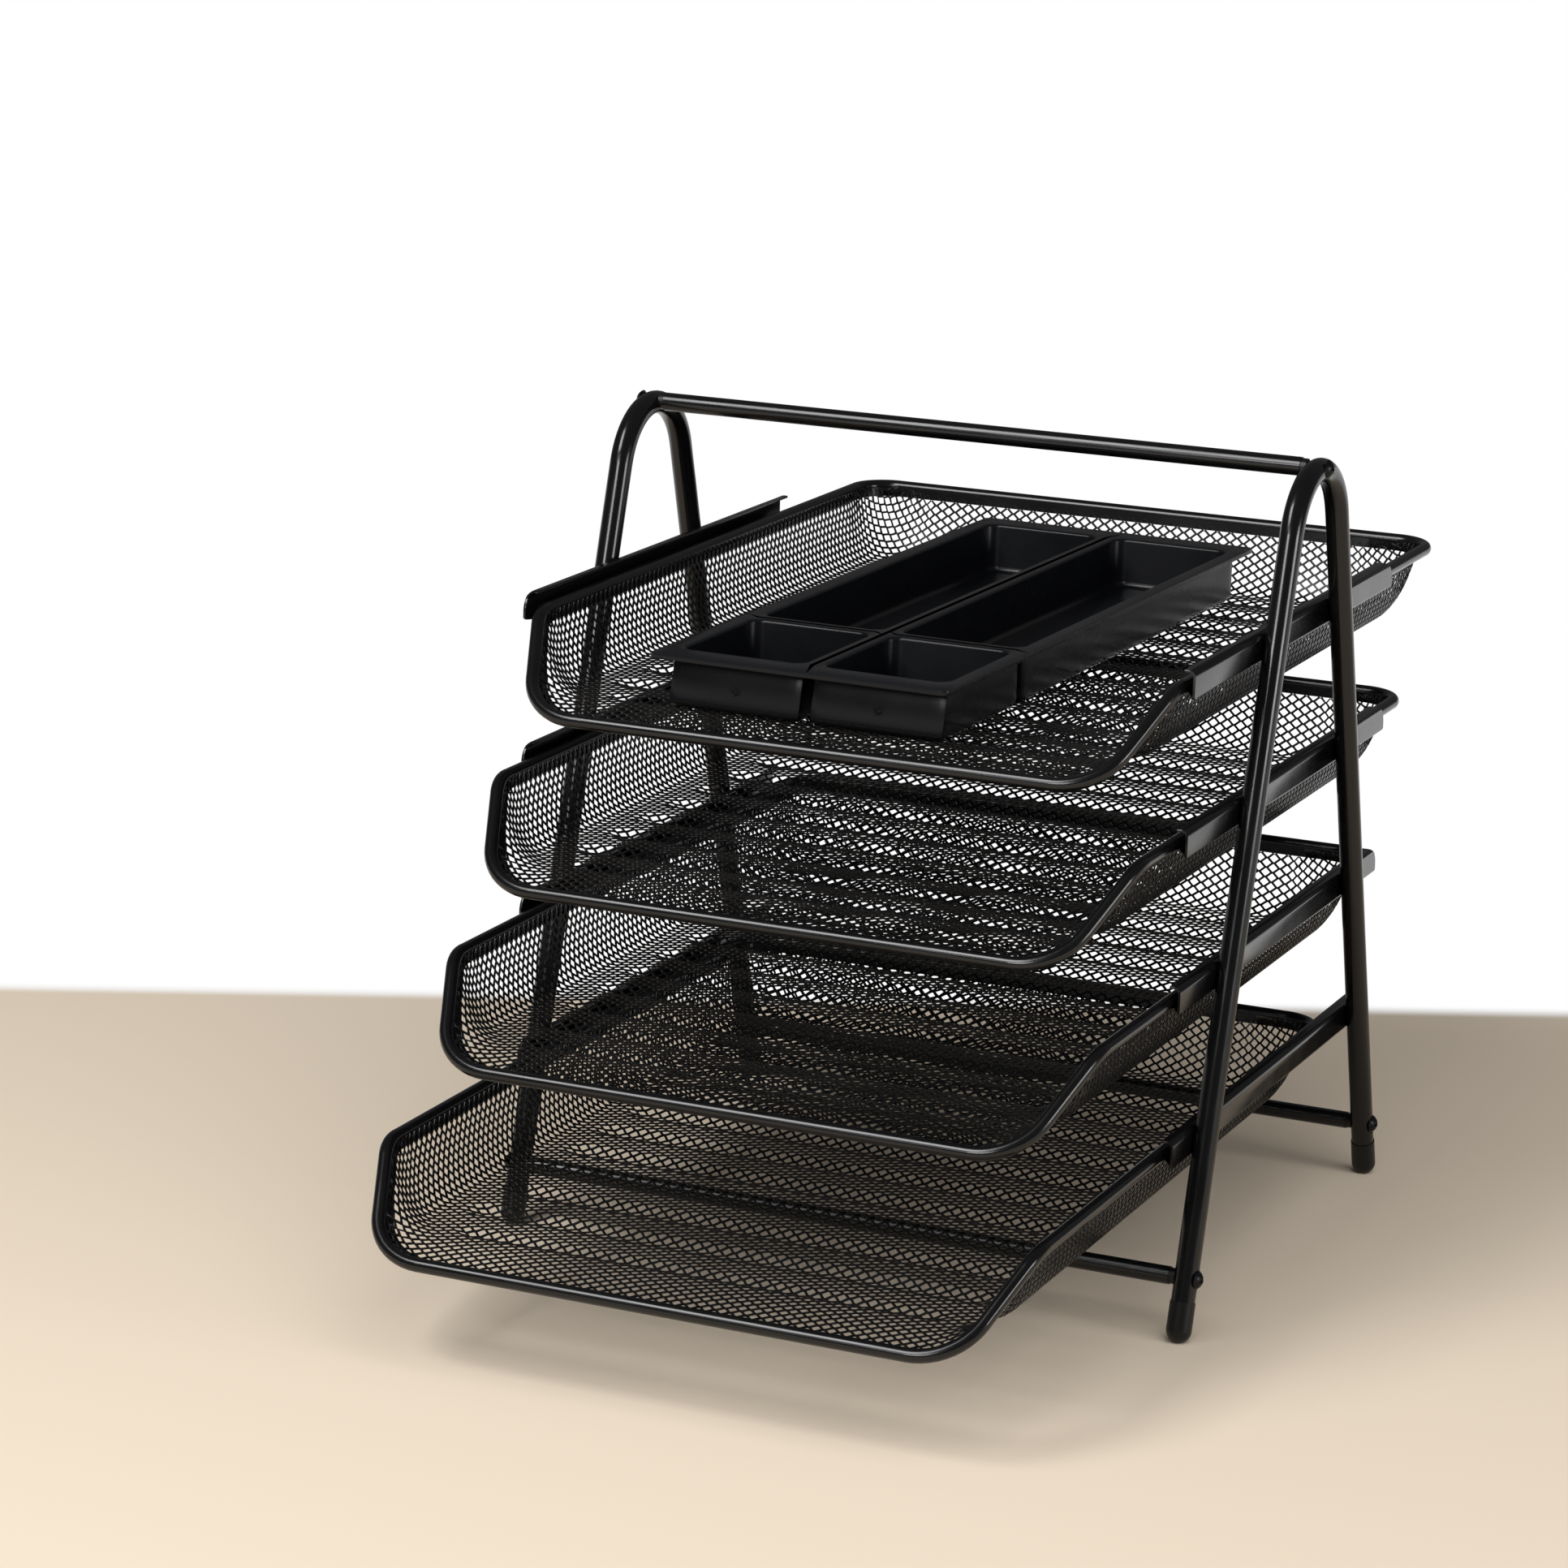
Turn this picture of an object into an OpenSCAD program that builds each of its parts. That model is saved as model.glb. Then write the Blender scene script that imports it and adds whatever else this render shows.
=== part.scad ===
// Letter tray stack: four wire-mesh letter trays that slide front to back in
// channel rails, between two bent-tube hoops tied together by a handle bar on
// top and a crossbar at the foot of each pair of legs. A moulded organizer
// insert stands in the top tray. +X is right, -Y is the side that the trays
// pull out of, and the origin is on the desk, midway between the four feet.

/* [Hoops] */
// Distance between the centrelines of the two hoops
hoop_spacing = 276.4; // [272:0.1:300]
// Outside diameter of the hoop tube
tube_d = 9; // [7:0.1:10]
// Wall of the hoop tube
tube_wall = 1; // [0.6:0.1:1.5]
// Front to back distance between the feet
foot_spread = 222.6; // [210:0.1:240]
// Height of the top of the hoops above the desk
stack_height = 313.5; // [308:0.1:325]
// How far each leg leans from upright, in degrees
leg_lean = 16.5; // [15:0.1:17]

/* [Bars] */
// Outside diameter of the handle bar
handle_d = 7.2; // [6:0.1:8]
// How far the handle bar's axis lies above that of the hoops' tops
handle_rise = 0.9; // [0:0.1:1.2]
// Outside diameter of the two crossbars
crossbar_d = 6.8; // [6:0.1:8]
// Wall of the bars
bar_wall = 0.9; // [0.6:0.1:1.2]
// Height of the crossbars above the desk
crossbar_height = 23; // [22:0.5:27]
// Shank diameter of the screws that hold the bars
screw_d = 3.6; // [3:0.1:4]
// Head diameter of those screws
screw_head_d = 7.4; // [6:0.1:8.4]
// Height of the domed screw head
screw_head_h = 2.4; // [1.6:0.1:3]

/* [Feet] */
// Diameter of the round-ended feet
foot_d = 9.6; // [9.2:0.1:10.4]
// Length of each foot, from its tip to the end of the tube
foot_length = 15.5; // [13:0.5:17]

/* [Rails] */
// Height of the lowest rail above the desk
lowest_rail = 66.5; // [64:0.1:70]
// Distance from one rail to the next
tray_pitch = 58.8; // [56:0.1:60]
// How far the rails reach in front of the middle
rail_front = 113; // [105:0.5:114]
// How far the rails reach behind the middle
rail_back = 122; // [110:0.5:130]
// Height of the rail's web
rail_height = 9.2; // [8.6:0.1:10]
// Thickness of the rail's sheet metal
rail_sheet = 0.9; // [0.7:0.1:1.1]
// Width of the flange over the tray's rim
rail_top_flange = 5.6; // [4.5:0.1:6.5]
// Width of the flange under the tray's rim
rail_bottom_flange = 7.6; // [7:0.1:7.7]

/* [Trays] */
// Distance between the centrelines of the two sides of a tray's rim
tray_width = 254.8; // [254:0.1:255.6]
// Distance from the back of the rim to its front, between centrelines
tray_length = 350.3; // [340:0.1:360]
// Length of the level sides of the rim
side_length = 313.7; // [305:0.1:320]
// Diameter of the rim
rim_d = 5.2; // [4.6:0.1:5.4]
// How far the front of the rim lies below its sides
front_drop = 30.7; // [28:0.1:32]
// How far the rim closes in on each side towards its front
front_inset = 15; // [12:0.1:18]
// Radius of the rim's back corners
back_corner_r = 15; // [12:0.5:24]
// Radius of the rim's front corners
front_corner_r = 24; // [23:0.5:28]
// Radius where a side of the rim turns down to the front
side_bend_r = 16; // [10:0.5:18]
// Depth of the mesh floor below the rim's sides
floor_drop = 27.5; // [26:0.1:29]
// How far the floor lies inside the rim at the sides and the back
floor_inset = 16; // [13:0.5:20]
// How far the floor lies behind the front of the rim
floor_front_inset = 22; // [18:0.5:28]
// Thickness of the mesh sheet
mesh_sheet = 0.8; // [0.6:0.1:1.2]
// Openings across the floor of a basket
openings_across = 9; // [5:1:12]
// Openings along the floor of a basket
openings_along = 12; // [6:1:12]
// Width of the bars left between the openings
opening_bar = 4.6; // [3.5:0.1:8]
// Back of the top tray's rim, behind the middle, with the tray pushed home
home_back = 196; // [190:0.1:196]
// How far the top tray stands pulled out
pulled_1 = 0; // [0:0.5:170]
// How far the second tray stands pulled out
pulled_2 = 29.5; // [0:0.5:170]
// How far the third tray stands pulled out
pulled_3 = 67; // [0:0.5:170]
// How far the bottom tray stands pulled out
pulled_4 = 115; // [0:0.5:170]
// How far the top tray lies to the right in the play of its rails
shift_1 = 0.2; // [-1:0.1:1]
// How far the second tray lies to the right
shift_2 = -0.9; // [-1:0.1:1]
// How far the third tray lies to the right
shift_3 = 1; // [-1:0.1:1]
// How far the bottom tray lies to the right
shift_4 = -0.3; // [-1:0.1:1]

/* [Organizer insert] */
// Width of the insert's flange
insert_width = 121; // [110:0.5:122]
// Length of the insert's flange
insert_length = 315; // [300:0.5:316]
// Height of the insert
insert_height = 22; // [20:0.5:26]
// Thickness of its moulded walls
insert_wall = 1.8; // [1.2:0.1:2]
// Length of the two front compartments
cup_length = 61; // [50:0.5:80]
// Thickness of the front wall of these two
cup_front_wall = 6; // [2:0.1:7]
// How far the insert stands turned in the tray, in degrees
insert_turn = 1.4; // [0:0.1:2]

/* [Hidden] */
$fn = 48;

LEFT = -1;
RIGHT = 1;
FRONT = -1;
REAR = 1;

// Hoops
tube_r = tube_d / 2;
tube_bore = tube_d - 2 * tube_wall;
hoop_x = hoop_spacing / 2;
foot_tip_flat = 0.4;
foot_centre_z = foot_d / 2 - foot_tip_flat;
top_z = stack_height - tube_r;
handle_z = top_z + handle_rise;
legs_meet_z = foot_centre_z + foot_spread / 2 / tan(leg_lean);
arch_r = (legs_meet_z - top_z) * sin(leg_lean) / (1 - sin(leg_lean));
tube_end_z = foot_centre_z + (foot_length - foot_d / 2) * cos(leg_lean);
function leg_y(z) = (legs_meet_z - z) * tan(leg_lean);

// Tubes: a straight runs a little way into each bend, and the bend stands
// a hair proud of it, so that the two always close
run_in = 0.3;
proud = 0.02;

// Bars, their end plugs and screws
weld = 0.15;
play = 0.05;
hoop_inner_x = hoop_x - tube_r;
plug_collar = 1.6;
plug_depth = 12;
plug_bore = screw_d + 2 * play;
screw_hole = screw_d + 0.5;
screw_seat_depth = 0.4;
screw_seat_x = hoop_x + tube_r - screw_seat_depth;
screw_length = 16;
crossbar_y = leg_y(crossbar_height);

// Rails
rail_outer_x = hoop_inner_x + weld;
rail_length = rail_front + rail_back;
rail_corner_r = 2;
rail_end_r = 2.5;
rail_lip = 0.9;
function rail_z(k) = lowest_rail + (4 - k) * tray_pitch;

// Trays
rim_r = rim_d / 2;
rim_gap = 0.3;
rim_half = tray_width / 2;
front_half = rim_half - front_inset;
pulled = [pulled_1, pulled_2, pulled_3, pulled_4];
shift = [shift_1, shift_2, shift_3, shift_4];
floor_back_r = 16;
floor_bend_r = 20;
floor_front_r = 12;
floor_bend_lead = 6;
floor_border = 6;
wall_opening_top = 5.5;
wall_opening_foot = 3.5;
apron_opening = 12;
wall_shape = 0.35;
front_shape = 0.6;
corner_shape = 0.15;
wall_steps = 6;
function rim_z(k) = rail_z(k) + rail_sheet + rim_gap + rim_r;
function back_y(k) = home_back - pulled[k - 1];

// Organizer insert
insert_x = -7;
insert_front_gap = 14.1;
flange_side = 6.75;
flange_front = 14;
flange_back = 13;
divider = 8;
corner_r = 5;
front_y_1 = back_y(1) - tray_length;
insert_y = front_y_1 + insert_front_gap + insert_length / 2;
insert_z = rim_z(1) - floor_drop + 0.3;

// A foot's spigot ends below the screw that crosses the tube
foot_barrel = foot_length - foot_d / 2;
spigot_top_z = crossbar_height - screw_d / 2 - 1.2 - tube_r * sin(leg_lean);
spigot_length = (spigot_top_z - foot_centre_z) / cos(leg_lean) - foot_barrel;

// Vectors
function unit(v) = v / norm(v);
function flat(v) = unit([v.x, v.y, 0]);
function turn(u, v) = acos(max(-1, min(1, u * v)));

// A fillet of radius r at corner b of the path a, b, c:
// [centre, first radius direction, direction of travel, turn, radius]
function fillet(a, b, c, r) =
    let(u = unit(b - a), v = unit(c - b), t = turn(u, v))
    let(w = unit(v - u * (u * v)), start = b - u * r * tan(t / 2))
    [start + w * r, -w, u, t, r];
function fillet_point(f, t) = f[0] + f[4] * (cos(t) * f[1] + sin(t) * f[2]);

// A round rod between two points
module rod(a, b, d) {
    v = b - a;
    translate(a)
        rotate([0, acos(v.z / norm(v)), atan2(v.y, v.x)])
            cylinder(d = d, h = norm(v));
}

// A rod that runs into a bend at one end or at both
module rod_into(a, b, d, both = true) {
    u = unit(b - a);
    rod(both ? a - run_in * u : a, b + run_in * u, d);
}

// A round bend that follows a fillet
module bend(f, d) {
    n = cross(f[2], -f[1]);
    theta = acos(max(-1, min(1, n.z)));
    phi = atan2(n.y, n.x);
    ex = [cos(phi) * cos(theta), sin(phi) * cos(theta), -sin(theta)];
    ey = [-sin(phi), cos(phi), 0];
    translate(f[0])
        rotate([0, theta, phi])
            rotate([0, 0, atan2(f[1] * ey, f[1] * ex)])
                rotate_extrude(angle = f[3])
                    translate([f[4], 0])
                        circle(d = d + 2 * proud);
}

// One bent tube from the end of its front leg over the arch to its rear leg
module hoop_tube(side, d, past) {
    front_end = [side * hoop_x, -leg_y(tube_end_z - past), tube_end_z - past];
    rear_end = [side * hoop_x, leg_y(tube_end_z - past), tube_end_z - past];
    apex = [side * hoop_x, 0, legs_meet_z];
    arch = fillet(front_end, apex, rear_end, arch_r);
    rod_into(front_end, fillet_point(arch, 0), d, false);
    bend(arch, d);
    rod_into(rear_end, fillet_point(arch, arch[3]), d, false);
}

// Where the bars are screwed to a hoop: [y, z]
function bar_places() = [[0, handle_z], [-crossbar_y, crossbar_height], [crossbar_y, crossbar_height]];

module hoop(side) {
    color("#1c1c1e")
        difference() {
            hoop_tube(side, tube_d, 0);
            hoop_tube(side, tube_bore, 1);
            for (place = bar_places())
                translate([side * hoop_x, place[0], place[1]])
                    rotate([0, side * 90, 0]) {
                        translate([0, 0, -tube_d])
                            cylinder(d = screw_hole, h = 2 * tube_d);
                        translate([0, 0, tube_r - screw_seat_depth])
                            cylinder(d = screw_head_d + 0.6, h = tube_r);
                    }
        }
}

// A straight bar between the hoops, a plug's collar short of each
module bar(y, z, d) {
    reach = hoop_inner_x - plug_collar;
    color("#1c1c1e")
        difference() {
            rod([-reach, y, z], [reach, y, z], d);
            rod([-reach - 1, y, z], [reach + 1, y, z], d - 2 * bar_wall);
        }
}

// The plug in one end of a bar: its collar closes round the hoop tube
module bar_plug(side, y, z, d) {
    collar_x = hoop_inner_x - plug_collar;
    color("#141416")
        difference() {
            union() {
                rod([side * collar_x, y, z], [side * (hoop_inner_x + 0.7), y, z], d - 0.8);
                rod([side * (collar_x - plug_depth), y, z], [side * collar_x, y, z], d - 2 * bar_wall - 2 * play);
            }
            hoop_tube(side, tube_d + 2 * play, 0);
            rod([side * (collar_x - plug_depth - 1), y, z], [side * hoop_x, y, z], plug_bore);
        }
}

module bar_plugs(y, z, d) {
    for (side = [LEFT, RIGHT])
        bar_plug(side, y, z, d);
}

// A screw with a domed head and a cross recess, seated on the outside of a hoop
module bar_screw(side, y, z) {
    head_r = screw_head_d / 2;
    dome_r = (head_r * head_r + screw_head_h * screw_head_h) / (2 * screw_head_h);
    color("#232327")
        translate([side * screw_seat_x, y, z])
            rotate([0, side * 90, 0]) {
                difference() {
                    intersection() {
                        translate([0, 0, screw_head_h - dome_r])
                            sphere(r = dome_r);
                        cylinder(d = screw_head_d, h = screw_head_h);
                    }
                    for (quarter = [0, 90])
                        rotate([0, 0, quarter])
                            translate([-1.9, -0.4, screw_head_h - 1.2])
                                cube([3.8, 0.8, 2]);
                }
                translate([0, 0, -screw_length])
                    cylinder(d = screw_d, h = screw_length);
            }
}

module handle_screws() {
    for (side = [LEFT, RIGHT])
        bar_screw(side, 0, handle_z);
}

module leg_screws() {
    for (side = [LEFT, RIGHT], end = [FRONT, REAR])
        bar_screw(side, end * crossbar_y, crossbar_height);
}

// A moulded foot: a ball end, a short barrel and a spigot inside the tube
module foot(side, end) {
    color("#161618")
        intersection() {
            translate([side * hoop_x, end * foot_spread / 2, foot_centre_z])
                rotate([end * leg_lean, 0, 0])
                    rotate_extrude() {
                        intersection() {
                            circle(d = foot_d);
                            translate([0, -foot_d])
                                square(foot_d);
                        }
                        square([foot_d / 2, foot_barrel]);
                        square([tube_bore / 2 - play, foot_barrel + spigot_length]);
                    }
            translate([side * hoop_x - 10, end * foot_spread / 2 - 20, 0])
                cube([20, 40, 40]);
        }
}

// The rail's section: web on the left, flanges to the right
module rail_section() {
    difference() {
        translate([rail_corner_r, rail_height - rail_corner_r])
            circle(r = rail_corner_r);
        translate([rail_corner_r, rail_height - rail_corner_r])
            circle(r = rail_corner_r - rail_sheet);
        translate([rail_corner_r, 0])
            square([rail_corner_r, rail_height]);
        square([2 * rail_corner_r, rail_height - rail_corner_r]);
    }
    square([rail_sheet, rail_height - rail_corner_r]);
    square([rail_bottom_flange, rail_sheet]);
    translate([rail_corner_r, rail_height - rail_sheet])
        square([rail_top_flange - rail_corner_r, rail_sheet]);
    translate([rail_top_flange - rail_sheet, rail_height - rail_sheet - rail_lip])
        square([rail_sheet, rail_sheet + rail_lip]);
}

// The rail's outline from the side, with round upper corners
module rail_outline() {
    square([rail_length, rail_height - rail_end_r]);
    translate([rail_end_r, 0])
        square([rail_length - 2 * rail_end_r, rail_height]);
    for (y = [rail_end_r, rail_length - rail_end_r])
        translate([y, rail_height - rail_end_r])
            circle(r = rail_end_r);
}

module rail(side, k) {
    color("#1a1a1c")
        mirror([side == RIGHT ? 1 : 0, 0, 0])
            translate([-rail_outer_x, -rail_front, rail_z(k)])
                intersection() {
                    translate([0, rail_length, 0])
                        rotate([90, 0, 0])
                            linear_extrude(rail_length)
                                rail_section();
                    translate([-1, 0, 0])
                        rotate([90, 0, 90])
                            linear_extrude(tube_d)
                                rail_outline();
                }
}

// The corners of a tray's rim, counter-clockwise from above
function rim_corners(k) =
    let(x = shift[k - 1], y = back_y(k), z = rim_z(k))
    [
        [x + rim_half, y, z],
        [x - rim_half, y, z],
        [x - rim_half, y - side_length, z],
        [x - front_half, y - tray_length, z - front_drop],
        [x + front_half, y - tray_length, z - front_drop],
        [x + rim_half, y - side_length, z]];
rim_radii = [back_corner_r, back_corner_r, side_bend_r, front_corner_r, front_corner_r, side_bend_r];
function rim_fillets(k) =
    let(c = rim_corners(k))
    [for (i = [0:5]) fillet(c[(i + 5) % 6], c[i], c[(i + 1) % 6], rim_radii[i])];

module tray_rim(k) {
    f = rim_fillets(k);
    color("#202023")
        for (i = [0:5]) {
            next = f[(i + 1) % 6];
            bend(f[i], rim_d);
            rod_into(fillet_point(f[i], f[i][3]), fillet_point(next, 0), rim_d);
        }
}

// The corners of the basket's floor, in the same order
function floor_corners(k) =
    let(x = shift[k - 1], y = back_y(k), z = rim_z(k) - floor_drop)
    let(side_x = rim_half - floor_inset, front_x = front_half - floor_inset)
    let(bend_y = y - side_length + floor_bend_lead, front_y = y - tray_length + floor_front_inset)
    [
        [x + side_x, y - floor_inset, z],
        [x - side_x, y - floor_inset, z],
        [x - side_x, bend_y, z],
        [x - front_x, front_y, z],
        [x + front_x, front_y, z],
        [x + side_x, bend_y, z]];
floor_radii = [floor_back_r, floor_back_r, floor_bend_r, floor_front_r, floor_front_r, floor_bend_r];
function floor_fillets(k) =
    let(c = floor_corners(k))
    [for (i = [0:5]) fillet(c[(i + 5) % 6], c[i], c[(i + 1) % 6], floor_radii[i])];

// Stations round the rim: [point of the rim, point of the floor, 1 at the
// middle of a back corner and 0 elsewhere]
arc_steps = [8, 8, 4, 8, 8, 4];
function stations(k) =
    let(f = rim_fillets(k), g = floor_fillets(k))
    [for (i = [0:5], j = [0:arc_steps[i]])
        let(share = j / arc_steps[i])
        [fillet_point(f[i], share * f[i][3]), fillet_point(g[i], share * g[i][3]), i < 2 ? sin(180 * share) : 0]];

// The mesh sheet's section at a station, from the rim (t = 0) to the floor
// (t = 1), as [distance inward, height], with its direction
function section_ends(s) =
    let(down = s[0].z - s[1].z, run = norm([s[1].x - s[0].x, s[1].y - s[0].y]))
    let(front = (floor_drop - down) / front_drop)
    let(top = rim_r - weld + mesh_sheet * (1 - front))
    let(shape = wall_shape + (front_shape - wall_shape) * front + corner_shape * s[2])
    [[top, 0], [top + shape * (run - top), -down], [run, -down]];
function section_point(e, t) = (1 - t) * (1 - t) * e[0] + 2 * t * (1 - t) * e[1] + t * t * e[2];
function section_way(e, t) = unit((1 - t) * (e[1] - e[0]) + t * (e[2] - e[1]));
function sheet_point(s, t, depth) =
    let(e = section_ends(s), q = section_point(e, t), way = section_way(e, t))
    s[0] + flat(s[1] - s[0]) * (q.x + depth * way.y) + [0, 0, q.y - depth * way.x];

// A row of equal openings between two ends, as [start, end]
function openings(low, high, count) =
    let(pitch = (high - low + opening_bar) / count)
    [for (i = [0:count - 1]) [low + i * pitch, low + (i + 1) * pitch - opening_bar]];

// What is cut from the sheet to leave its grid: the floor's openings, one row
// in each side and in the back, and one row in the apron at the front
module sheet_openings() {
    floor_x = rim_half - floor_inset - floor_border;
    floor_front = -side_length + floor_bend_lead + floor_border;
    floor_back = -floor_inset - floor_border - 4;
    columns = openings(-floor_x, floor_x, openings_across);
    rows = openings(floor_front, floor_back, openings_along);
    apron_y = -tray_length + floor_front_inset / 2;
    for (x = columns, y = rows)
        translate([x[0], y[0], -floor_drop - 2])
            cube([x[1] - x[0], y[1] - y[0], 4]);
    for (side = [LEFT, RIGHT], y = rows)
        translate([side * rim_half - 15, y[0], -floor_drop + wall_opening_foot])
            cube([30, y[1] - y[0], floor_drop - wall_opening_foot - wall_opening_top]);
    for (x = columns) {
        if (abs(x[0] + x[1]) / 2 < floor_x - floor_back_r)
            translate([x[0], -15, -floor_drop + wall_opening_foot])
                cube([x[1] - x[0], 30, floor_drop - wall_opening_foot - wall_opening_top]);
        if (abs(x[0] + x[1]) / 2 < front_half - floor_inset - floor_front_r)
            translate([x[0], apron_y - apron_opening / 2, -floor_drop - 8])
                cube([x[1] - x[0], apron_opening, 14]);
    }
}

// The mesh basket: one sheet drawn down from the rim to a floor
module tray_basket(k) {
    around = stations(k);
    n = len(around);
    rings = wall_steps + 1;
    points = [
        for (depth = [0, mesh_sheet], j = [0:wall_steps], s = around)
            sheet_point(s, j / wall_steps, depth)];
    walls = [
        for (j = [0:wall_steps - 1], i = [0:n - 1])
            let(a = j * n + i, b = j * n + (i + 1) % n)
            [[b + n, b, a], [a + n, b + n, a]]];
    inner = [for (pair = walls, face = pair) face];
    outer = [for (face = inner) [for (i = [2:-1:0]) face[i] + rings * n]];
    edge = [
        for (i = [0:n - 1])
            let(a = i, b = (i + 1) % n, c = rings * n)
            [[b + c, a + c, a], [b, b + c, a]]];
    floor_top = [for (i = [n - 1:-1:0]) wall_steps * n + i];
    floor_under = [for (i = [0:n - 1]) (rings + wall_steps) * n + i];
    color("#28282b")
        difference() {
            polyhedron(points, concat(inner, outer, [for (pair = edge, face = pair) face], [floor_top, floor_under]));
            translate([shift[k - 1], back_y(k), rim_z(k)])
                sheet_openings();
        }
}

// A rectangle with round corners, from corner to corner
module round_box(low, high, r, height) {
    size = high - low;
    linear_extrude(height)
        translate(low) {
            translate([r, 0])
                square([size.x - 2 * r, size.y]);
            translate([0, r])
                square([size.x, size.y - 2 * r]);
            for (x = [r, size.x - r], y = [r, size.y - r])
                translate([x, y])
                    circle(r = r);
        }
}

// The compartments of the insert, as [low corner, high corner]
half_w = insert_width / 2;
half_l = insert_length / 2;
cup_front = -half_l + flange_front;
long_front = cup_front + cup_length + divider;
compartments = [
    for (side = [LEFT, RIGHT], y = [[cup_front, cup_front + cup_length], [long_front, half_l - flange_back]])
        side == LEFT
            ? [[-half_w + flange_side, y[0]], [-divider / 2, y[1]]]
            : [[divider / 2, y[0]], [half_w - flange_side, y[1]]]];

// What the front wall of a front compartment has over the other walls
function thicker(y) = [0, y == cup_front ? cup_front_wall - insert_wall : 0];

// The moulded insert: a flat flange with four hanging compartments
module organizer_insert() {
    wall = [insert_wall, insert_wall];
    color("#17181b")
        translate([insert_x, insert_y, insert_z])
            rotate([0, 0, -insert_turn])
                difference() {
                    union() {
                        translate([0, 0, insert_height - insert_wall])
                            round_box([-half_w, -half_l], [half_w, half_l], 3, insert_wall);
                        for (c = compartments)
                            round_box(c[0] - wall - thicker(c[0].y), c[1] + wall, corner_r + insert_wall, insert_height - insert_wall);
                    }
                    for (c = compartments)
                        translate([0, 0, insert_wall])
                            round_box(c[0], c[1], corner_r, insert_height);
                }
}

hoop(LEFT);  // left_hoop
hoop(RIGHT);  // right_hoop
bar(0, handle_z, handle_d);  // handle_bar
bar(-crossbar_y, crossbar_height, crossbar_d);  // front_crossbar
bar(crossbar_y, crossbar_height, crossbar_d);  // rear_crossbar
bar_plugs(0, handle_z, handle_d);  // handle_bar_plugs
bar_plugs(-crossbar_y, crossbar_height, crossbar_d);  // front_crossbar_plugs
bar_plugs(crossbar_y, crossbar_height, crossbar_d);  // rear_crossbar_plugs
handle_screws();  // handle_bar_screws
leg_screws();  // crossbar_screws
foot(LEFT, FRONT);  // foot_front_left
foot(RIGHT, FRONT);  // foot_front_right
foot(LEFT, REAR);  // foot_rear_left
foot(RIGHT, REAR);  // foot_rear_right
rail(LEFT, 1);  // rail_1_left
rail(RIGHT, 1);  // rail_1_right
rail(LEFT, 2);  // rail_2_left
rail(RIGHT, 2);  // rail_2_right
rail(LEFT, 3);  // rail_3_left
rail(RIGHT, 3);  // rail_3_right
rail(LEFT, 4);  // rail_4_left
rail(RIGHT, 4);  // rail_4_right
tray_rim(1);  // tray_1_rim
tray_basket(1);  // tray_1_basket
tray_rim(2);  // tray_2_rim
tray_basket(2);  // tray_2_basket
tray_rim(3);  // tray_3_rim
tray_basket(3);  // tray_3_basket
tray_rim(4);  // tray_4_rim
tray_basket(4);  // tray_4_basket
organizer_insert();
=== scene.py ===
"""Letter tray stack: four wire-mesh letter trays in two bent-tube hoops, with
an organizer insert in the top tray.  Laid out as an add-on, run as a script."""

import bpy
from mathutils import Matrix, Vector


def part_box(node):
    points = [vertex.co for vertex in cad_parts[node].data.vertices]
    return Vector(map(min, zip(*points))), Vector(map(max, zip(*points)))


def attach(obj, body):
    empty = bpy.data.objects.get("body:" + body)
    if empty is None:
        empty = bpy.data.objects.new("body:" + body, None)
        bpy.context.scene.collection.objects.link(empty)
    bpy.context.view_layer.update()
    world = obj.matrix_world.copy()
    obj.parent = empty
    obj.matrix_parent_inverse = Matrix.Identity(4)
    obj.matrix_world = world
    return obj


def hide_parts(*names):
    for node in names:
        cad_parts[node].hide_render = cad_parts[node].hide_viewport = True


bl_info = {
    "name": "Letter tray stack",
    "version": (1, 0, 0),
    "blender": (4, 5, 0),
    "location": "View3D > Sidebar > Letter trays",
    "description": "Expanded-mesh baskets, powder coat, moulded insert and stage for a letter tray stack",
    "category": "Object",
}

import math

import bpy
import numpy as np
from mathutils import Matrix, Vector
from mathutils.kdtree import KDTree

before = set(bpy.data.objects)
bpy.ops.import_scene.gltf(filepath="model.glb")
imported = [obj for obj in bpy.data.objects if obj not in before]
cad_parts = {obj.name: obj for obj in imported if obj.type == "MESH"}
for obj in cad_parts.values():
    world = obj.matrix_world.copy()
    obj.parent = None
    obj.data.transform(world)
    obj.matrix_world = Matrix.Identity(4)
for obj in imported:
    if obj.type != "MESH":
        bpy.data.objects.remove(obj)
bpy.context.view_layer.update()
MM = 0.001
TRAYS = (1, 2, 3, 4)


# ---------------------------------------------------------------- settings

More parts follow.
